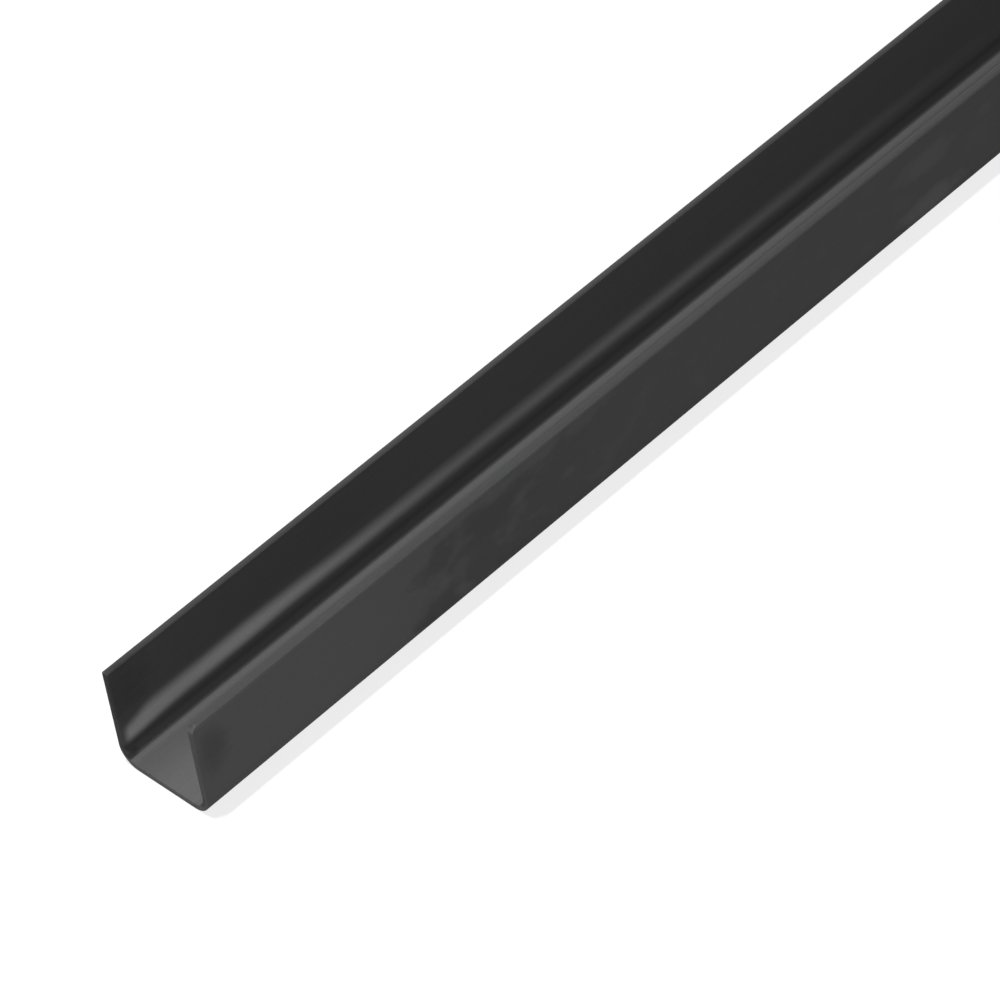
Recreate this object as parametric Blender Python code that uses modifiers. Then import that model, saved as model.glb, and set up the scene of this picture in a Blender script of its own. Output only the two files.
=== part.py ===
"""Steel U-channel: one length of cold-formed channel, open side up.

A flat steel strip of even thickness is bent twice along its length. Both bends keep the strip's
thickness, so the outer radius of a bend is its inner radius plus the wall. The long edges of the
strip are slit edges, a little rounded, and both ends are sawn square.

Frame: metres, +Z up. The length runs along X, the web lies on Z = 0, and the origin is the
middle of the web's underside. The front flange is the one at -Y.
"""
import math

import bmesh
import bpy
from mathutils import Vector

# Driving dimensions, in metres. 25.4 mm is 1 in.
LENGTH = 0.9144
WEB_WIDTH = 0.0254
FRONT_FLANGE_HEIGHT = 0.0254
BACK_FLANGE_HEIGHT = 0.0254
WALL = 0.00152
INNER_BEND_RADIUS = 0.00318
EDGE_RADIUS = 0.0002

# How finely the round stretches are divided.
BEND_STEPS = 12
EDGE_STEPS = 2

# Only the strip's edges are rounded: the facets of a bend meet at far less than this angle.
EDGE_ANGLE = math.radians(50)


def clear_scene():
    """Remove whatever the file opened with."""
    for thing in list(bpy.data.objects):
        bpy.data.objects.remove(thing)


def dark_steel():
    """Bare steel under a thin dark oxide: nearly black, with a low sheen."""
    material = bpy.data.materials.new("dark_steel")
    material.use_nodes = True
    shader = material.node_tree.nodes["Principled BSDF"]
    shader.inputs["Base Color"].default_value = (0.075, 0.075, 0.077, 1.0)
    shader.inputs["Metallic"].default_value = 0.6
    shader.inputs["Roughness"].default_value = 0.42
    return material


def bend(centre_y, centre_z, radius, start_degrees):
    """The (y, z) points of a quarter turn, clockwise from start_degrees, measured from +Y to +Z."""
    points = []
    for step in range(BEND_STEPS + 1):
        angle = math.radians(start_degrees - 90 * step / BEND_STEPS)
        points.append((centre_y + radius * math.cos(angle), centre_z + radius * math.sin(angle)))
    return points


def strip_outer_face():
    """The strip's outer face in cross-section, as (y, z), from its back edge to its front edge."""
    outer_bend_radius = INNER_BEND_RADIUS + WALL
    flange_y = WEB_WIDTH / 2
    bend_y = flange_y - outer_bend_radius
    back_edge = [(flange_y, BACK_FLANGE_HEIGHT)]
    back_bend = bend(bend_y, outer_bend_radius, outer_bend_radius, 360)
    front_bend = bend(-bend_y, outer_bend_radius, outer_bend_radius, 270)
    front_edge = [(-flange_y, FRONT_FLANGE_HEIGHT)]
    return back_edge + back_bend + front_bend + front_edge


def swept_along_length(name, section):
    """An open surface: the section's line of (y, z) points, drawn out from end to end along X."""
    shape = bmesh.new()
    first_end = [shape.verts.new((-LENGTH / 2, y, z)) for y, z in section]
    edges = [shape.edges.new(pair) for pair in zip(first_end, first_end[1:])]
    drawn = bmesh.ops.extrude_edge_only(shape, edges=edges)["geom"]
    other_end = [item for item in drawn if isinstance(item, bmesh.types.BMVert)]
    bmesh.ops.translate(shape, verts=other_end, vec=Vector((LENGTH, 0.0, 0.0)))
    mesh = bpy.data.meshes.new(name)
    shape.to_mesh(mesh)
    shape.free()
    mesh.shade_smooth()
    return mesh


def u_channel(collection):
    """The bent strip, given its wall inwards from its outer face, with its edges rounded."""
    mesh = swept_along_length("u_channel", strip_outer_face())
    mesh.materials.append(dark_steel())
    channel = bpy.data.objects.new("u_channel", mesh)
    collection.objects.link(channel)

    wall = channel.modifiers.new("wall", "SOLIDIFY")
    wall.thickness = WALL
    wall.offset = -1.0
    wall.use_even_offset = True

    edges = channel.modifiers.new("rounded_edges", "BEVEL")
    edges.width = EDGE_RADIUS
    edges.segments = EDGE_STEPS
    edges.limit_method = "ANGLE"
    edges.angle_limit = EDGE_ANGLE
    edges.harden_normals = True


clear_scene()
steel_u_channel = bpy.data.collections.new("steel_u_channel")
bpy.context.scene.collection.children.link(steel_u_channel)
u_channel(steel_u_channel)
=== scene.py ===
import math

import bmesh
import bpy
from mathutils import Matrix, Vector


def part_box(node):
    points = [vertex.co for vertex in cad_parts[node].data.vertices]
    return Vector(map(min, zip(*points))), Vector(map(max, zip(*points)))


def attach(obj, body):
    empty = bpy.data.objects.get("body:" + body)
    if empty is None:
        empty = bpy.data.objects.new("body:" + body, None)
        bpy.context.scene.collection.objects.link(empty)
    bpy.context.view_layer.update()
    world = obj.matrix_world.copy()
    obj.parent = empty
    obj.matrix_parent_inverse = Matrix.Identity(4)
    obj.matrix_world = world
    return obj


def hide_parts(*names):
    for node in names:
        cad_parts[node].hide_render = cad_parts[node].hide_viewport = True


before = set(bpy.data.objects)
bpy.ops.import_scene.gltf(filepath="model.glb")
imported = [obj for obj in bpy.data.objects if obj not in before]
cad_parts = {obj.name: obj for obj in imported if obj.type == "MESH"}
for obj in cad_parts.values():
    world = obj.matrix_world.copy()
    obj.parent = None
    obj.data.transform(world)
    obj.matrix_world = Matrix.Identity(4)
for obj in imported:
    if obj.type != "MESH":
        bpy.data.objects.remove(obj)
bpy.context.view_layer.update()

# The channel.
# One strip of thin steel under a dark oxide, bent cold along its length into a U and sawn to
# length. Both bends keep the strip's thickness, and its slit edges are the flanges' top edges.

channel_low, channel_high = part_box("u_channel")
channel_length = channel_high.x - channel_low.x
channel_width = channel_high.y - channel_low.y
flange_height = channel_high.z - channel_low.z
wall = 0.00152
inner_bend_radius = 0.00318
outer_bend_radius = inner_bend_radius + wall
slit_edge_radius = 0.00035
end_deburr = 0.00012
end_deburr_steps = 2
deburred_angle = math.radians(60)
front_corner_radius = 0.0019
back_corner_radius = 0.0006
corner_facets = 6
cut_tolerance = 0.0000001
crisp_angle = math.radians(50)
normal_weight = 100
bend_points = 18
edge_points = 5
length_step = 0.003

# The rolls leave the faces very slightly wavy, and slitting leaves the top edges uneven. The
# waves are given by how far they reach and by how many there are to the metre, along and across.
# Those of slitting end a little below the top, and all of them fade out towards the floor.
forming_wave = 0.00004
forming_waves_per_metre = (14.0, 22.0, 22.0)
slit_wave = 0.00003
slit_waves_per_metre = (120.0, 60.0, 60.0)
slit_wave_depth = 0.0006
resting_height = 0.006


def give(tree, slot, value):
    """Feed an input from a socket, or set it to a plain value."""
    if isinstance(value, bpy.types.NodeSocket):
        tree.links.new(value, slot)
    else:
        slot.default_value = value


def add_node(tree, kind, values=None, **settings):
    """A node in a tree, with its settings, and its inputs fed by name or number."""
    made = tree.nodes.new(kind)
    for name, value in settings.items():
        setattr(made, name, value)
    for name, value in (values or {}).items():
        give(tree, made.inputs[name], value)
    return made


def calculate(tree, operation, *values):
    """The output of a Math node whose inputs are sockets or numbers."""
    return add_node(tree, "ShaderNodeMath", dict(enumerate(values)), operation=operation).outputs[0]


def product(tree, first, *others):
    """Sockets or numbers multiplied together."""
    for other in others:
        first = calculate(tree, "MULTIPLY", first, other)
    return first


def total(tree, first, *others):
    """Sockets or numbers added together."""
    for other in others:
        first = calculate(tree, "ADD", first, other)
    return first


def vector_math(tree, operation, values):
    """The output of a Vector Math node whose inputs are given by number or name."""
    return add_node(tree, "ShaderNodeVectorMath", values, operation=operation).outputs[0]


def ramp(tree, value, start, end, low=0.0, high=1.0):
    """A value carried smoothly from low at start to high at end, and held beyond them."""
    made = add_node(tree, "ShaderNodeMapRange", {
        "Value": value, "From Min": start, "From Max": end, "To Min": low, "To Max": high,
    }, interpolation_type="SMOOTHSTEP")
    return made.outputs["Result"]


def choose_by_index(tree, kind, index, values):
    """The output of an Index Switch that gives each outline corner its own value."""
    switch = add_node(tree, "GeometryNodeIndexSwitch", {"Index": index}, data_type=kind)
    while len(switch.index_switch_items) < len(values):
        switch.index_switch_items.new()
    for place, value in enumerate(values):
        give(tree, switch.inputs[place + 1], value)
    return switch.outputs[0]


def wave(tree, place, waves_per_metre, reach):
    """A soft random shift of a place, up to a reach each way."""
    stretched = vector_math(tree, "MULTIPLY", {0: place, 1: waves_per_metre})
    noise = add_node(tree, "ShaderNodeTexNoise", {
        "Vector": stretched, "Scale": 1.0, "Detail": 2.0})
    centred = vector_math(tree, "SUBTRACT", {0: noise.outputs["Color"], 1: (0.5, 0.5, 0.5)})
    return vector_math(tree, "SCALE", {
        0: centred, "Scale": calculate(tree, "MULTIPLY", reach, 2.0)})


def formed_channel_tree():
    """The nodes that draw the section, round its corners and sweep it along the length."""
    tree = bpy.data.node_groups.new("formed_channel", "GeometryNodeTree")
    tree.is_modifier = True
    sockets = tree.interface
    sockets.new_socket("Geometry", in_out="INPUT", socket_type="NodeSocketGeometry")
    for name in ("Length", "Web Width", "Flange Height", "Wall", "Inner Bend Radius",
                 "Slit Edge Radius", "Length Step", "Forming Wave", "Slit Wave",
                 "Slit Wave Depth", "Resting Height"):
        sockets.new_socket(name, in_out="INPUT", socket_type="NodeSocketFloat")
    for name in ("Bend Points", "Edge Points"):
        sockets.new_socket(name, in_out="INPUT", socket_type="NodeSocketInt")
    sockets.new_socket("Finish", in_out="INPUT", socket_type="NodeSocketMaterial")
    sockets.new_socket("Geometry", in_out="OUTPUT", socket_type="NodeSocketGeometry")
    given = add_node(tree, "NodeGroupInput").outputs
    result = add_node(tree, "NodeGroupOutput")

    # The section's eight corners, anticlockwise from the front outer bend, with Y to the right.
    side = calculate(tree, "MULTIPLY", given["Web Width"], 0.5)
    inside = calculate(tree, "SUBTRACT", side, given["Wall"])
    minus_side = calculate(tree, "MULTIPLY", side, -1.0)
    minus_inside = calculate(tree, "MULTIPLY", inside, -1.0)
    height = given["Flange Height"]
    edge = given["Slit Edge Radius"]
    bend = given["Inner Bend Radius"]
    outer_bend = calculate(tree, "ADD", bend, given["Wall"])
    around_bend = given["Bend Points"]
    around_edge = given["Edge Points"]
    index = add_node(tree, "GeometryNodeInputIndex").outputs[0]
    across = choose_by_index(tree, "FLOAT", index, [
        minus_side, side, side, inside, inside, minus_inside, minus_inside, minus_side])
    upwards = choose_by_index(tree, "FLOAT", index, [
        0.0, 0.0, height, height, given["Wall"], given["Wall"], height, height])
    rounding = choose_by_index(tree, "FLOAT", index, [
        outer_bend, outer_bend, edge, edge, bend, bend, edge, edge])
    points_around = choose_by_index(tree, "INT", index, [
        around_bend, around_bend, around_edge, around_edge,
        around_bend, around_bend, around_edge, around_edge])

    # A sweep along +X turns the section's own X and Y into -Y and -Z, so both are negated here.
    corner = add_node(tree, "ShaderNodeCombineXYZ", {
        "X": calculate(tree, "MULTIPLY", across, -1.0),
        "Y": calculate(tree, "MULTIPLY", upwards, -1.0)})
    corners = add_node(tree, "GeometryNodeMeshLine", {"Count": 8})
    placed = add_node(tree, "GeometryNodeSetPosition", {
        "Geometry": corners.outputs["Mesh"], "Position": corner.outputs["Vector"]})
    outline = add_node(tree, "GeometryNodeMeshToCurve", {"Mesh": placed.outputs["Geometry"]})
    closed = add_node(tree, "GeometryNodeSetSplineCyclic", {
        "Geometry": outline.outputs["Curve"], "Cyclic": True})
    section = add_node(tree, "GeometryNodeFilletCurve", {
        "Curve": closed.outputs["Geometry"], "Radius": rounding, "Count": points_around,
        "Limit Radius": True}, mode="POLY")

    # The length that the section is swept along.
    half = calculate(tree, "MULTIPLY", given["Length"], 0.5)
    left = add_node(tree, "ShaderNodeCombineXYZ", {"X": calculate(tree, "MULTIPLY", half, -1.0)})
    right = add_node(tree, "ShaderNodeCombineXYZ", {"X": half})
    line = add_node(tree, "GeometryNodeCurvePrimitiveLine", {
        "Start": left.outputs["Vector"], "End": right.outputs["Vector"]})
    steps = add_node(tree, "GeometryNodeResampleCurve", {
        "Curve": line.outputs["Curve"], "Length": given["Length Step"]}, mode="LENGTH")
    swept = add_node(tree, "GeometryNodeCurveToMesh", {
        "Curve": steps.outputs["Curve"], "Profile Curve": section.outputs["Curve"],
        "Fill Caps": True})

    # The waves run across the length only, and the web's underside stays flat where it rests.
    place = add_node(tree, "GeometryNodeInputPosition").outputs[0]
    forming = wave(tree, place, forming_waves_per_metre, given["Forming Wave"])
    slitting = wave(tree, place, slit_waves_per_metre, given["Slit Wave"])
    apart = add_node(tree, "ShaderNodeSeparateXYZ", {0: place})
    near_top = add_node(tree, "ShaderNodeMapRange", {
        "Value": calculate(tree, "SUBTRACT", height, apart.outputs["Z"]),
        "From Min": given["Slit Wave Depth"], "From Max": 0.0})
    at_slit = vector_math(tree, "SCALE", {0: slitting, "Scale": near_top.outputs["Result"]})
    off_floor = add_node(tree, "ShaderNodeMapRange", {
        "Value": apart.outputs["Z"], "From Min": 0.0, "From Max": given["Resting Height"]})
    both = vector_math(tree, "ADD", {0: forming, 1: at_slit})
    resting = vector_math(tree, "SCALE", {0: both, "Scale": off_floor.outputs["Result"]})
    formed = add_node(tree, "GeometryNodeSetPosition", {
        "Geometry": swept.outputs["Mesh"],
        "Offset": vector_math(tree, "MULTIPLY", {0: resting, 1: (0.0, 1.0, 1.0)})})

    smooth = add_node(tree, "GeometryNodeSetShadeSmooth", {"Geometry": formed.outputs["Geometry"]})
    whole = add_node(tree, "GeometryNodeRealizeInstances", {
        "Geometry": smooth.outputs["Geometry"]})
    finished = add_node(tree, "GeometryNodeSetMaterial", {
        "Geometry": whole.outputs["Geometry"], "Material": given["Finish"]})
    give(tree, result.inputs["Geometry"], finished.outputs["Geometry"])
    return tree


# The finish's colours: the oxide, where it is paler, painted light and highlight, and the sawn
# ends.
dark_oxide = (0.045, 0.045, 0.0455, 1.0)
pale_oxide = (0.0825, 0.0825, 0.083, 1.0)
inside_oxide = (0.070, 0.070, 0.0705, 1.0)
painted_light_web = (0.140, 0.140, 0.141, 1.0)
pale_rim = (0.094, 0.094, 0.095, 1.0)
painted_highlight_band = (0.32, 0.32, 0.322, 1.0)
sawn_web = (0.17, 0.17, 0.171, 1.0)
sawn_flange = (0.080, 0.080, 0.0802, 1.0)

# The painted highlight band's bottom and top, above the floor.
band_bottom = 0.0065
band_top = 0.0113

# How much of the finish's brightness each effect takes off where it is strongest. The back slit
# edge and the bends' hollows take painted shade, and the back hollow's left tip a painted shadow
# on top of it.
smudge_darkness = 0.32
back_edge_painted_shade = 0.28
left_end_darkening = 0.11
hollow_painted_shade = 0.32
tip_painted_shadow = 0.37

# How far the rolls' lines and the oxide's grain vary the brightness, from darkest to palest.
lines_contrast = 0.24
grain_contrast = 0.2

# The faces are satin, a little uneven, and rougher on the outer bends and on the sawn ends.
oxide_specular_level = 0.09
satin_roughness = 0.5
satin_variation = 0.12
added_roughness = 0.3
relief_strength = 0.25
relief_height = 0.00002


def shader_group(name, inputs, outputs):
    """An empty shader node group with its sockets, and the group's own inputs and outputs."""
    tree = bpy.data.node_groups.new(name, "ShaderNodeTree")
    for socket, kind in inputs:
        tree.interface.new_socket(socket, in_out="INPUT", socket_type="NodeSocket" + kind)
    for socket, kind in outputs:
        tree.interface.new_socket(socket, in_out="OUTPUT", socket_type="NodeSocket" + kind)
    given = add_node(tree, "NodeGroupInput").outputs
    result = add_node(tree, "NodeGroupOutput").inputs
    return tree, given, result


def use_group(tree, group, values):
    """The outputs of a group used in a tree, with its inputs linked or given as plain values."""
    return add_node(tree, "ShaderNodeGroup", values, node_tree=group).outputs


def mixed(tree, first, second, share):
    """A colour that goes from the first to the second as a share goes from nought to one."""
    made = add_node(tree, "ShaderNodeMix", {"A": first, "B": second, "Factor": share},
                    data_type="RGBA")
    return made.outputs["Result"]


def noise_value(tree, place, per_metre, detail, roughness=0.5, distortion=0.0):
    """Noise from nought to one, with so many waves to the metre along, round and through."""
    noise = add_node(tree, "ShaderNodeTexNoise", {
        "Vector": vector_math(tree, "MULTIPLY", {0: place, 1: per_metre}), "Scale": 1.0,
        "Detail": detail, "Roughness": roughness, "Distortion": distortion})
    return noise.outputs["Fac"]


def flat_strip_group():
    """Places on the strip as it was before bending, and which of its sides they are on."""
    tree, given, result = shader_group(
        "flat_strip",
        [("Half Width", "Float"), ("Outer Radius", "Float"), ("Wall", "Float"),
         ("Flange Height", "Float")],
        [("Flat", "Vector"), ("Outside", "Float"), ("Along", "Float"), ("Across", "Float"),
         ("Height", "Float"), ("Through", "Float"), ("On Slit Edge", "Float")])
    apart = add_node(tree, "ShaderNodeSeparateXYZ", {
        0: add_node(tree, "ShaderNodeTexCoord").outputs["Object"]})
    along, across, height = apart.outputs

    # The way round the bends, from the middle of the web, measured on the outer face.
    reach = calculate(tree, "ABSOLUTE", across)
    web_half = calculate(tree, "SUBTRACT", given["Half Width"], given["Outer Radius"])
    beyond_web = calculate(
        tree, "MAXIMUM", calculate(tree, "SUBTRACT", reach, web_half), 0.000001)
    below_flange = calculate(
        tree, "MAXIMUM", calculate(tree, "SUBTRACT", given["Outer Radius"], height), 0.0)
    turned = calculate(tree, "ARCTAN2", beyond_web, below_flange)
    round_bend = calculate(tree, "MULTIPLY", turned, given["Outer Radius"])
    on_web = calculate(tree, "MINIMUM", reach, web_half)
    up_flange = calculate(
        tree, "MAXIMUM", calculate(tree, "SUBTRACT", height, given["Outer Radius"]), 0.0)
    around = calculate(tree, "ADD", calculate(tree, "ADD", on_web, round_bend), up_flange)
    signed = calculate(tree, "MULTIPLY", around, calculate(tree, "SIGN", across))

    # How deep in the wall a place is, from nought on the outer face to one on the inner.
    squares = calculate(tree, "ADD", calculate(tree, "POWER", beyond_web, 2.0),
                        calculate(tree, "POWER", below_flange, 2.0))
    depth = calculate(tree, "SUBTRACT", given["Outer Radius"], calculate(tree, "SQRT", squares))
    through = calculate(tree, "DIVIDE", depth, given["Wall"])
    below_top = calculate(tree, "SUBTRACT", given["Flange Height"], height)
    on_slit_edge = ramp(tree, below_top, 0.00015, 0.00005)
    outside = calculate(tree, "MULTIPLY", ramp(tree, through, 0.7, 0.3),
                        calculate(tree, "SUBTRACT", 1.0, on_slit_edge))

    # The outer face lies 50 mm off the inner one here, so that they share no pattern.
    flat = add_node(tree, "ShaderNodeCombineXYZ", {
        "X": along, "Y": signed, "Z": calculate(tree, "MULTIPLY", outside, 0.05)})
    for name, socket in (("Flat", flat.outputs[0]), ("Outside", outside), ("Along", along),
                         ("Across", across), ("Height", height), ("Through", through),
                         ("On Slit Edge", on_slit_edge)):
        give(tree, result[name], socket)
    return tree


def soft_spot_group():
    """A round mask about a place along the channel and a height, ragged at its rim."""
    tree, given, result = shader_group(
        "soft_spot",
        [("Flat", "Vector"), ("Along", "Float"), ("Height", "Float"), ("Middle Along", "Float"),
         ("Middle Height", "Float"), ("Reach Along", "Float"), ("Reach Up", "Float")],
        [("Mask", "Float")])
    ragged = noise_value(tree, given["Flat"], (350.0, 350.0, 350.0), detail=2.0)
    away = calculate(tree, "DIVIDE", calculate(
        tree, "SUBTRACT", given["Along"], given["Middle Along"]), given["Reach Along"])
    up = calculate(tree, "DIVIDE", calculate(
        tree, "SUBTRACT", given["Height"], given["Middle Height"]), given["Reach Up"])
    squares = calculate(tree, "ADD", calculate(tree, "POWER", away, 2.0),
                        calculate(tree, "POWER", up, 2.0))
    distance = calculate(tree, "ADD", calculate(tree, "SQRT", squares),
                         calculate(tree, "MULTIPLY_ADD", ragged, 0.6, -0.3))
    give(tree, result["Mask"], ramp(tree, distance, 1.0, 0.2))
    return tree


def oxide_patches_group():
    """Where the dark oxide has worn to a lighter tone, in soft-edged patches along the strip."""
    tree, given, result = shader_group(
        "oxide_patches",
        [("Flat", "Vector"), ("Lift", "Float"), ("Flaking", "Float")],
        [("Light", "Float"), ("Grain", "Float")])
    patches = noise_value(tree, given["Flat"], (110.0, 160.0, 160.0), detail=2.5,
                          distortion=0.12)
    grain = noise_value(tree, given["Flat"], (900.0, 1500.0, 1500.0), detail=3.0, roughness=0.6)
    flakes = noise_value(tree, given["Flat"], (230.0, 380.0, 380.0), detail=1.5, roughness=0.4)
    lifted = calculate(tree, "ADD", patches, given["Lift"])
    uneven = calculate(tree, "MULTIPLY_ADD", grain, 0.05, lifted)
    flaked = calculate(tree, "MULTIPLY", ramp(tree, flakes, 0.60, 0.72),
                       calculate(tree, "MULTIPLY", given["Flaking"], 0.75))
    give(tree, result["Light"], calculate(
        tree, "MAXIMUM", ramp(tree, uneven, 0.50, 0.80), flaked))
    give(tree, result["Grain"], grain)
    return tree


def rolling_lines_group():
    """Fine lines that the rolls drew along the strip."""
    tree, given, result = shader_group(
        "rolling_lines", [("Flat", "Vector")], [("Lines", "Float")])
    fine = noise_value(tree, given["Flat"], (12.0, 4200.0, 400.0), detail=2.0, roughness=0.7)
    broad = noise_value(tree, given["Flat"], (5.0, 900.0, 200.0), detail=2.0, roughness=0.6)
    give(tree, result["Lines"], calculate(
        tree, "MULTIPLY_ADD", broad, 0.5, calculate(tree, "MULTIPLY", fine, 0.5)))
    return tree


def highlight_band_group():
    """A painted highlight: a bright band along one flange's inside, fading along the length."""
    tree, given, result = shader_group(
        "painted_highlight_band",
        [("Flat", "Vector"), ("From End", "Float"), ("Height", "Float"), ("Bottom", "Float"),
         ("Top", "Float")],
        [("Mask", "Float")])
    from_end = given["From End"]
    wander = noise_value(tree, given["Flat"], (60.0, 300.0, 0.0), detail=2.0)
    level = calculate(tree, "ADD", given["Height"],
                      calculate(tree, "MULTIPLY_ADD", wander, 0.0006, -0.0003))

    # It starts low and narrow at the end, widens within a few millimetres and narrows again.
    bottom = total(tree, given["Bottom"],
                   ramp(tree, from_end, 0.0, 0.018, low=-0.0010, high=0.0),
                   ramp(tree, from_end, 0.014, 0.050, high=0.00045))
    top = total(tree, given["Top"],
                ramp(tree, from_end, 0.0, 0.009, low=-0.0026, high=-0.00055),
                ramp(tree, from_end, 0.020, 0.035, high=0.00035),
                ramp(tree, from_end, 0.030, 0.070, high=-0.0010),
                ramp(tree, from_end, 0.10, 0.15, high=-0.0003))
    lower = ramp(tree, calculate(tree, "SUBTRACT", level, bottom), -0.0014, 0.0014)
    upper = ramp(tree, calculate(tree, "SUBTRACT", top, level), -0.0019, 0.0019)

    # It is brightest over the first few centimetres, and fades out in two long steps.
    tip = calculate(tree, "ADD", ramp(tree, from_end, 0.0, 0.0025, high=0.89),
                    ramp(tree, from_end, 0.015, 0.035, high=0.11))
    fade = calculate(tree, "ADD", ramp(tree, from_end, 0.11, 0.03, high=0.55),
                     ramp(tree, from_end, 0.28, 0.14, high=0.45))
    give(tree, result["Mask"], product(tree, lower, upper, tip, fade))
    return tree


def places_on_channel(tree):
    """Where a place is on the channel, by name, from the flat strip and from the left end."""
    where = dict(use_group(tree, flat_strip_group(), {
        "Half Width": channel_width / 2, "Outer Radius": outer_bend_radius, "Wall": wall,
        "Flange Height": flange_height}).items())
    where["From End"] = calculate(tree, "ADD", where["Along"], channel_length / 2)
    where["Inside"] = calculate(tree, "SUBTRACT", 1.0, where["Outside"])
    where["Front"] = ramp(tree, where["Across"], -0.002, -0.004)
    where["Back"] = ramp(tree, where["Across"], 0.002, 0.004)
    where["Front Outside"] = calculate(tree, "MULTIPLY", where["Front"], where["Outside"])
    where["Back Inside"] = calculate(tree, "MULTIPLY", where["Back"], where["Inside"])
    return where


def spot(tree, group, where, middle_along, middle_height, reach_along, reach_up):
    """A soft spot's mask, with its middle measured from the left end and from the floor."""
    return use_group(tree, group, {
        "Flat": where["Flat"], "Along": where["From End"], "Height": where["Height"],
        "Middle Along": middle_along, "Middle Height": middle_height,
        "Reach Along": reach_along, "Reach Up": reach_up})["Mask"]


def outside_oxide(tree, where, spots, patches):
    """Outside, the oxide is pale near the left end, and dark with pale patches beyond."""
    from_end = where["From End"]
    end_strength = ramp(tree, from_end, 0.065, 0.030, low=0.78)
    first_strength = ramp(tree, from_end, 0.13, 0.085, high=0.75)
    last_strength = ramp(tree, from_end, 0.23, 0.26, low=0.16, high=0.6)
    strength = calculate(tree, "MULTIPLY", end_strength,
                         calculate(tree, "ADD", first_strength, last_strength))
    evenness = ramp(tree, from_end, 0.09, 0.13, high=0.14)
    pale = calculate(tree, "MULTIPLY_ADD", patches["Light"], strength, evenness)

    # On the front flange it also has a few pale patches of its own, two of them large.
    low_patch = {"middle_along": 0.2185, "middle_height": 0.0056,
                 "reach_along": 0.0160, "reach_up": 0.0046}
    high_patch = {"middle_along": 0.2175, "middle_height": 0.0175,
                  "reach_along": 0.0150, "reach_up": 0.0054}
    right_patch = {"middle_along": 0.2370, "middle_height": 0.0182,
                   "reach_along": 0.0050, "reach_up": 0.0028}
    left_patch = {"middle_along": 0.0725, "middle_height": 0.0110,
                  "reach_along": 0.0050, "reach_up": 0.0036}
    middle_patch = {"middle_along": 0.0900, "middle_height": 0.0140,
                    "reach_along": 0.0040, "reach_up": 0.0028}
    for paleness, patch in ((0.60, high_patch), (1.00, low_patch), (0.35, right_patch),
                            (0.45, left_patch), (0.35, middle_patch)):
        mask = spot(tree, spots, where, **patch)
        pale = calculate(tree, "MAXIMUM", pale,
                         product(tree, mask, where["Front Outside"], paleness))
    return mixed(tree, dark_oxide, pale_oxide, pale)


def oxide_patches(tree, where):
    """The patches of the oxide, more of them at the left end and under the top edge."""
    near_end = ramp(tree, where["From End"], 0.074, 0.044, high=0.6)
    near_top = calculate(tree, "MULTIPLY", ramp(tree, where["Height"], 0.0195, 0.0240, high=0.24),
                         ramp(tree, where["From End"], 0.15, 0.09))
    flaking = calculate(tree, "MULTIPLY", ramp(tree, where["From End"], 0.11, 0.06, high=0.3),
                        ramp(tree, where["Height"], 0.004, 0.016))
    return use_group(tree, oxide_patches_group(), {
        "Flat": where["Flat"], "Lift": calculate(tree, "MAXIMUM", near_end, near_top),
        "Flaking": flaking})


def web_painted_light(tree, where):
    """Painted light on the web's inside: most at the left end, and at the back bend's foot."""
    on_web = calculate(tree, "MULTIPLY", ramp(tree, where["Height"], 0.0042, 0.0026),
                       where["Inside"])
    end_light = calculate(tree, "MULTIPLY", ramp(tree, where["From End"], 0.028, 0.006, high=0.72),
                        ramp(tree, where["Across"], 0.009, -0.003, low=0.30, high=0.92))
    long_light = calculate(tree, "ADD", end_light, ramp(tree, where["From End"], 0.22, 0.09, high=0.1))
    # A painted highlight along the foot of the back bend.
    foot_highlight = ramp(tree, where["Across"], 0.0077, 0.0092, high=0.46)
    return calculate(tree, "MULTIPLY", on_web, calculate(tree, "MAXIMUM", long_light, foot_highlight))


def pale_rims(tree, where):
    """The pale rims of the slit edges, wider at the left end and uneven along the length."""
    unevenness = noise_value(tree, where["Flat"], (130.0, 0.0, 0.0), detail=2.0)
    width = calculate(tree, "ADD", calculate(tree, "MULTIPLY", unevenness, 0.0006),
                      ramp(tree, where["From End"], 0.045, 0.010, low=0.0005, high=0.0007))
    below_top = calculate(tree, "SUBTRACT", flange_height, where["Height"])
    return calculate(tree, "MULTIPLY", where["Outside"], ramp(
        tree, calculate(tree, "DIVIDE", below_top, width), 1.5, 0.6))


def band_highlight(tree, where):
    """The painted highlight, one bright band on the inside of the back flange."""
    band = use_group(tree, highlight_band_group(), {
        "Flat": where["Flat"], "From End": where["From End"], "Height": where["Height"],
        "Bottom": band_bottom, "Top": band_top})
    return calculate(tree, "MULTIPLY", band["Mask"], where["Back Inside"])


# Each shade below is what the colour is multiplied by, so that one leaves it as it is.
def contrast_shade(tree, pattern, contrast):
    """The shade of a pattern from nought to one, whose middle value leaves the colour alone."""
    return calculate(tree, "MULTIPLY_ADD", pattern, contrast, 1.0 - contrast / 2)


def smudge_shade(tree, where, spots):
    """Two soft smudges that handling left near the left end, and a fainter one further along."""
    front_end = spot(tree, spots, where, middle_along=0.0040, middle_height=0.0165,
                     reach_along=0.0055, reach_up=0.0085)
    front_far = spot(tree, spots, where, middle_along=0.0850, middle_height=0.0170,
                     reach_along=0.0140, reach_up=0.0060)
    back_end = spot(tree, spots, where, middle_along=0.002, middle_height=0.019,
                    reach_along=0.012, reach_up=0.013)
    front = calculate(tree, "MULTIPLY_ADD", front_far, 0.35, front_end)
    smudges = calculate(tree, "MAXIMUM", product(tree, front, where["Front Outside"]),
                        product(tree, back_end, where["Back Inside"], 0.75))
    return calculate(tree, "MULTIPLY_ADD", smudges, -smudge_darkness, 1.0)


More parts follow.
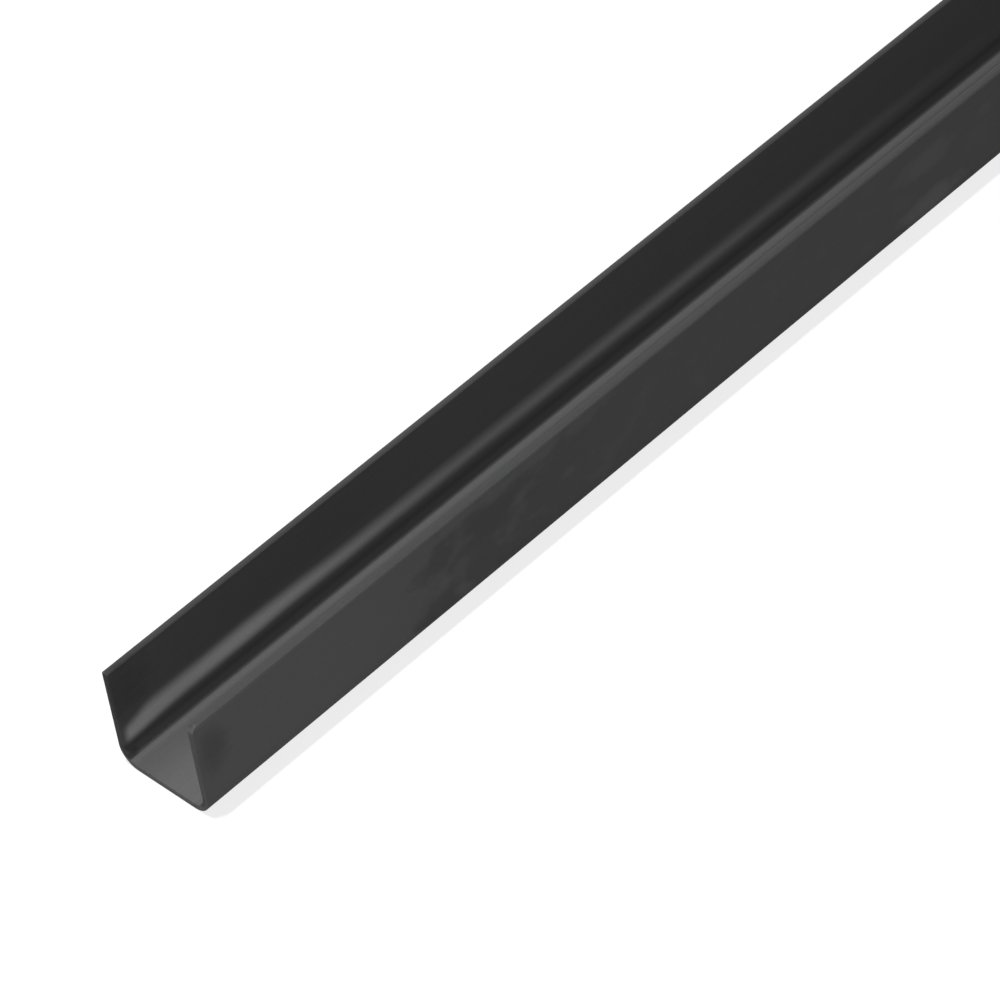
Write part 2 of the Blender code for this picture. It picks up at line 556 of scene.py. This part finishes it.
def slit_edge_shade(tree, where):
    """Painted shade on the back slit edge, most towards its inside; the front one a bit darker."""
    # Painted shade towards the inside of the back slit edge.
    back_painted_shade = calculate(tree, "MULTIPLY", where["Back"],
                           ramp(tree, where["Through"], 0.3, 0.9, high=back_edge_painted_shade))
    front_darkening = calculate(
        tree, "MULTIPLY_ADD", ramp(tree, where["From End"], 0.035, 0.060, high=0.09),
        ramp(tree, where["From End"], 0.20, 0.12), 0.04)
    edge_darkening = calculate(tree, "MULTIPLY", where["On Slit Edge"], calculate(
        tree, "MULTIPLY_ADD", where["Front"], front_darkening, back_painted_shade))
    return calculate(tree, "SUBTRACT", 1.0, edge_darkening)


def left_end_shade(tree, where):
    """Above the band, the back flange's inside is a little darker towards the left end."""
    near_end = ramp(tree, where["From End"], 0.10, 0.05, high=left_end_darkening)
    above_band = ramp(tree, where["Height"], 0.0115, 0.0145)
    end_darkening = product(tree, near_end, above_band, where["Back Inside"])
    return calculate(tree, "SUBTRACT", 1.0, end_darkening)


def hollow_shade(tree, where):
    """Painted shade in the hollows of the bends, and a painted shadow at the back one's left tip.
    """
    in_hollow = product(tree, ramp(tree, where["Height"], 0.00195, 0.0022),
                        ramp(tree, where["Height"], 0.0060, 0.0040), where["Inside"])
    # A painted shadow at the back hollow's left tip.
    at_tip = product(tree, ramp(tree, where["From End"], 0.0034, 0.0014, high=tip_painted_shadow),
                     ramp(tree, where["Height"], 0.0038, 0.0026), where["Back"])
    hollow_darkening = calculate(tree, "MULTIPLY", in_hollow, calculate(
        tree, "ADD", at_tip, hollow_painted_shade))
    return calculate(tree, "SUBTRACT", 1.0, hollow_darkening)


def dark_steel():
    """Dark oxide over steel: a satin dielectric skin, patchy outside, a painted highlight band."""
    material = bpy.data.materials.new("dark_steel")
    material.use_nodes = True
    tree = material.node_tree
    shader = tree.nodes["Principled BSDF"]
    shader.inputs["Specular IOR Level"].default_value = oxide_specular_level
    where = places_on_channel(tree)
    spots = soft_spot_group()
    patches = oxide_patches(tree, where)
    lines = use_group(tree, rolling_lines_group(), {"Flat": where["Flat"]})["Lines"]

    colour = outside_oxide(tree, where, spots, patches)
    colour = mixed(tree, colour, inside_oxide, where["Inside"])
    # Painted light on the web's inside.
    colour = mixed(tree, colour, painted_light_web, web_painted_light(tree, where))
    colour = mixed(tree, colour, pale_rim, pale_rims(tree, where))
    # A painted highlight: the bright band on the back flange's inside.
    colour = mixed(tree, colour, painted_highlight_band, band_highlight(tree, where))

    # The sawn ends are dark on the flanges and lighter on the web.
    facing = add_node(tree, "ShaderNodeSeparateXYZ", {
        0: add_node(tree, "ShaderNodeNewGeometry").outputs["Normal"]})
    sawn = ramp(tree, calculate(tree, "ABSOLUTE", facing.outputs["X"]), 0.6, 0.95)
    on_flange = calculate(tree, "MULTIPLY", ramp(tree, where["Height"], 0.0018, 0.005),
                          ramp(tree, where["Across"], -0.006, 0.006, low=0.45))
    colour = mixed(tree, colour, mixed(tree, sawn_web, sawn_flange, on_flange), sawn)

    shade = product(tree, smudge_shade(tree, where, spots), slit_edge_shade(tree, where),
                    left_end_shade(tree, where), hollow_shade(tree, where),
                    contrast_shade(tree, lines, lines_contrast),
                    contrast_shade(tree, patches["Grain"], grain_contrast))
    shaded = vector_math(tree, "SCALE", {0: colour, "Scale": shade})
    give(tree, shader.inputs["Base Color"], shaded)

    # The outer bends and the sawn ends are rougher than the satin faces.
    satin = calculate(tree, "MULTIPLY_ADD", patches["Grain"], satin_variation, satin_roughness)
    on_bend = calculate(tree, "MULTIPLY", where["Outside"],
                        ramp(tree, where["Height"], 0.0055, 0.002))
    satin = calculate(tree, "MULTIPLY_ADD", on_bend, added_roughness, satin)
    satin = calculate(tree, "MULTIPLY_ADD", sawn, added_roughness, satin)
    give(tree, shader.inputs["Roughness"], satin)

    # The relief is the oxide's grain, the rolls' lines and, on the ends, the saw's marks.
    relief = calculate(tree, "MULTIPLY_ADD", patches["Grain"], 0.4,
                       calculate(tree, "MULTIPLY", lines, 0.6))
    saw_marks = noise_value(tree, where["Flat"], (0.0, 300.0, 0.0), detail=1.0)
    relief = calculate(tree, "MULTIPLY_ADD", calculate(
        tree, "MULTIPLY", sawn, saw_marks), 0.6, relief)
    bump = add_node(tree, "ShaderNodeBump", {
        "Height": relief, "Strength": relief_strength, "Distance": relief_height})
    give(tree, shader.inputs["Normal"], bump.outputs["Normal"])
    return material


def made_plain(piece):
    """Give a piece the mesh that its modifiers make of it, and take them off."""
    ready = piece.evaluated_get(bpy.context.evaluated_depsgraph_get())
    rough = piece.data
    mesh = bpy.data.meshes.new_from_object(ready)
    piece.modifiers.clear()
    piece.data = mesh
    bpy.data.meshes.remove(rough)


def split_by(shape, geometry, middle, outwards, clear_outer=False):
    """Split a part of a shape along a plane, and give back what the plane cut."""
    return bmesh.ops.bisect_plane(shape, geom=geometry, dist=cut_tolerance, plane_co=middle,
                                  plane_no=outwards, clear_outer=clear_outer)["geom_cut"]


def cut_facet(shape, side, end, radius, facet):
    """Cut one facet of a rounded corner off a flange, and close the cut."""
    angle = math.pi / 2 * (facet + 0.5) / corner_facets
    outwards = Vector((end * math.cos(angle), 0.0, math.sin(angle)))
    centre = Vector((end * (channel_length / 2 - radius), 0.0, flange_height - radius))
    depth = radius * math.cos(math.pi / 4 / corner_facets)
    flange = [vert for vert in shape.verts if side * vert.co.y >= 0.0]
    flange += [edge for edge in shape.edges
               if side * (edge.verts[0].co.y + edge.verts[1].co.y) >= 0.0]
    flange += [face for face in shape.faces if side * face.calc_center_median().y > 0.0]
    cut = split_by(shape, flange, centre + outwards * depth, outwards, clear_outer=True)
    rims = [item for item in cut if isinstance(item, bmesh.types.BMEdge)]
    bmesh.ops.holes_fill(shape, edges=rims, sides=0)


def dull_corners(mesh):
    """Round the flanges' top corners at both ends, as handling dulls them, one facet at a time."""
    shape = bmesh.new()
    shape.from_mesh(mesh)

    # A split down the middle of the web lets a facet take one flange and leave the other.
    everything = shape.verts[:] + shape.edges[:] + shape.faces[:]
    split_by(shape, everything, Vector((0.0, 0.0, 0.0)), Vector((0.0, 1.0, 0.0)))
    for side, radius in ((-1, front_corner_radius), (1, back_corner_radius)):
        for end in (-1, 1):
            for facet in range(corner_facets):
                cut_facet(shape, side, end, radius, facet)
    for face in shape.faces:
        face.smooth = True
    for edge in shape.edges:
        edge.smooth = edge.calc_face_angle() < crisp_angle
    shape.to_mesh(mesh)
    shape.free()


def formed_channel():
    """The channel: the tree's result, with its ends deburred and its corners dulled."""
    piece = bpy.data.objects.new("channel", bpy.data.meshes.new("channel"))
    bpy.context.scene.collection.objects.link(piece)
    forming = piece.modifiers.new("forming", "NODES")
    forming.node_group = formed_channel_tree()
    sizes = {
        "Length": channel_length, "Web Width": channel_width, "Flange Height": flange_height,
        "Wall": wall, "Inner Bend Radius": inner_bend_radius,
        "Slit Edge Radius": slit_edge_radius, "Length Step": length_step,
        "Forming Wave": forming_wave, "Slit Wave": slit_wave,
        "Slit Wave Depth": slit_wave_depth, "Resting Height": resting_height,
        "Bend Points": bend_points, "Edge Points": edge_points, "Finish": dark_steel(),
    }
    for item in forming.node_group.interface.items_tree:
        if item.in_out == "INPUT" and item.name in sizes:
            forming[item.identifier] = sizes[item.name]
    deburr = piece.modifiers.new("deburr", "BEVEL")
    deburr.width = end_deburr
    deburr.segments = end_deburr_steps
    deburr.limit_method = "ANGLE"
    deburr.angle_limit = deburred_angle
    made_plain(piece)
    dull_corners(piece.data)

    # Large faces carry the shading, so that the narrow ones round an edge don't bend it.
    even = piece.modifiers.new("even_shading", "WEIGHTED_NORMAL")
    even.weight = normal_weight
    even.keep_sharp = True
    made_plain(piece)
    return piece


channel = formed_channel()
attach(channel, "root")
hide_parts("u_channel")

# The floor.
# A plain pale sheet that the channel lies on, a hair lower so that the two share no plane.

floor_size = 6.0
floor_level = -0.00005
floor_colour = (0.25, 0.25, 0.25, 1.0)
floor_glow = 0.8
white = (1.0, 1.0, 1.0, 1.0)


def seen_directly(tree):
    """One for rays from the camera and for reflected or refracted ones, otherwise nought."""
    path = add_node(tree, "ShaderNodeLightPath").outputs
    seen = calculate(tree, "MAXIMUM", path["Is Camera Ray"], path["Is Glossy Ray"])
    return calculate(tree, "MAXIMUM", seen, path["Is Transmission Ray"])


def pale_sheet():
    """A matt finish, lifted to white where the camera and reflections see it unshaded."""
    material = bpy.data.materials.new("pale_floor")
    material.use_nodes = True
    tree = material.node_tree
    shader = tree.nodes["Principled BSDF"]
    shader.inputs["Base Color"].default_value = floor_colour
    shader.inputs["Roughness"].default_value = 1.0
    shader.inputs["Specular IOR Level"].default_value = 0.0
    shader.inputs["Emission Color"].default_value = white
    glow = calculate(tree, "MULTIPLY", seen_directly(tree), floor_glow)
    give(tree, shader.inputs["Emission Strength"], glow)
    return material


def plain_floor():
    """One large square face."""
    reach = floor_size / 2
    corners = [(x * reach, y * reach, floor_level) for x, y in ((-1, -1), (1, -1), (1, 1), (-1, 1))]
    mesh = bpy.data.meshes.new("floor")
    mesh.from_pydata(corners, [], [(0, 1, 2, 3)])
    mesh.materials.append(pale_sheet())
    sheet = bpy.data.objects.new("floor", mesh)
    bpy.context.scene.collection.objects.link(sheet)
    return sheet


plain_floor()

# The light.
# A small narrow lamp high over the left end, leaning a little to the back so that the back
# flange shades the bend below it, a shadowless fill on each side, and a weak even surround.

key_size = (0.12, 0.022)
key_power = 7.38
key_height = 0.9
key_lean = math.radians(3.45)
key_along = -0.54
fill_size = (0.6, 0.6)
fill_power = 7.1
fill_place = Vector((-1.0, -1.25, 0.18))
fill_aim = Vector((-0.30, 0.0, 0.0))
back_fill_power = 5.7
back_fill_place = Vector((1.0, 1.25, 0.15))
back_fill_aim = Vector((0.30, 0.0, 0.0))
surround_strength = 0.10
surround_seen_strength = 1.0


def aimed(place, aim, roll=0.0):
    """The matrix of a lamp or camera at a place, looking at aim, turned about its own axis."""
    turn = (aim - place).to_track_quat("-Z", "Y").to_matrix().to_4x4()
    return Matrix.Translation(place) @ turn @ Matrix.Rotation(roll, 4, "Z")


def studio_lamp(name, power, size, matrix, casts_shadow):
    """A rectangular lamp in its place."""
    lamp = bpy.data.lights.new(name, "AREA")
    lamp.shape = "RECTANGLE"
    lamp.size, lamp.size_y = size
    lamp.energy = power
    lamp.use_shadow = casts_shadow
    made = bpy.data.objects.new(name, lamp)
    bpy.context.scene.collection.objects.link(made)
    made.matrix_world = matrix


def even_surround():
    """A world of even white light, weak on the object and full where it is seen directly."""
    world = bpy.data.worlds.new("surround")
    world.use_nodes = True
    tree = world.node_tree
    background = tree.nodes["Background"]
    background.inputs["Color"].default_value = white
    seen = calculate(tree, "MULTIPLY", seen_directly(tree),
                     surround_seen_strength - surround_strength)
    give(tree, background.inputs["Strength"], calculate(tree, "ADD", seen, surround_strength))
    return world


key_place = Vector((key_along, key_height * math.tan(key_lean), key_height))
key_turn = Matrix.Rotation(-key_lean, 4, "X")
studio_lamp("overhead", key_power, key_size, Matrix.Translation(key_place) @ key_turn, True)
studio_lamp("fill", fill_power, fill_size, aimed(fill_place, fill_aim), False)
studio_lamp("back_fill", back_fill_power, fill_size, aimed(back_fill_place, back_fill_aim), False)
bpy.context.scene.world = even_surround()

# The camera.
# A long lens about a metre off, in front of the channel's left end, looking down along it.

camera_place = Vector((-0.84385, -0.56637, 0.71565))
camera_aim = Vector((-0.36674, -0.00694, 0.0127))
camera_roll = math.radians(-8.8165)
camera_lens = 181.19
sensor_width = 36.0

view = bpy.data.cameras.new("view")
view.lens = camera_lens
view.sensor_width = sensor_width
camera = bpy.data.objects.new("view", view)
bpy.context.scene.collection.objects.link(camera)
camera.matrix_world = aimed(camera_place, camera_aim, camera_roll)
bpy.context.scene.camera = camera
bpy.context.scene.view_settings.view_transform = "Standard"

bpy.context.view_layer.update()
